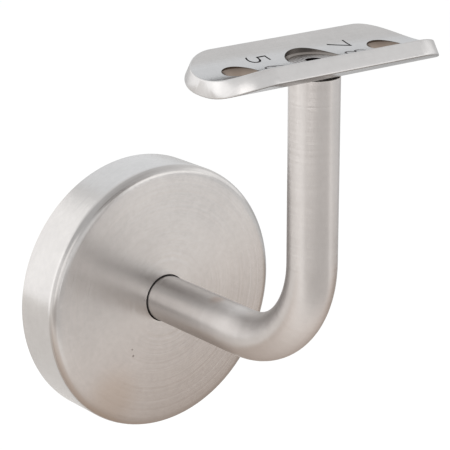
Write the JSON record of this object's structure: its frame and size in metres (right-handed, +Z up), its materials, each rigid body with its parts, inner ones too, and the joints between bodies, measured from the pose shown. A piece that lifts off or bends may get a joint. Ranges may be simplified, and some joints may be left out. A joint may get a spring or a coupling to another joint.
{
  "type": "handrail bracket",
  "caption": "Wall bracket for a round handrail: bent round bar, round push-on cover over a screw plate, and a curved saddle under the rail.",
  "frame": {"origin": "centre of the wall plate's rear face, on the axis of the bar's level leg", "axes": "+Y into the wall, -Y out along the level leg, +Z up along the upright leg, X along the rail"},
  "size_m": [0.07, 0.0844, 0.1117],
  "materials": {
    "plate_steel": "laser-cut stainless plate, mill finish",
    "weld_steel": "brushed weld bead",
    "bar_steel": "satin, ground round the bar",
    "cover_steel": "satin, brushed in circles on the face",
    "saddle_steel": "satin, brushed along the trough",
    "screw_steel": "turned stainless screw"
  },
  "bodies": {
    "bracket": {"wall_plate": "plate_steel", "weld_seam": "weld_steel", "arm": "bar_steel", "saddle": "saddle_steel", "saddle_screw": "screw_steel"},
    "cover": {"cover_rosette": "cover_steel"}
  },
  "joints": [
    {"name": "cover_slide", "type": "slide", "parent": "bracket", "child": "cover", "axis": [0, -1, 0], "range_m": [0, 0.03]}
  ]
}
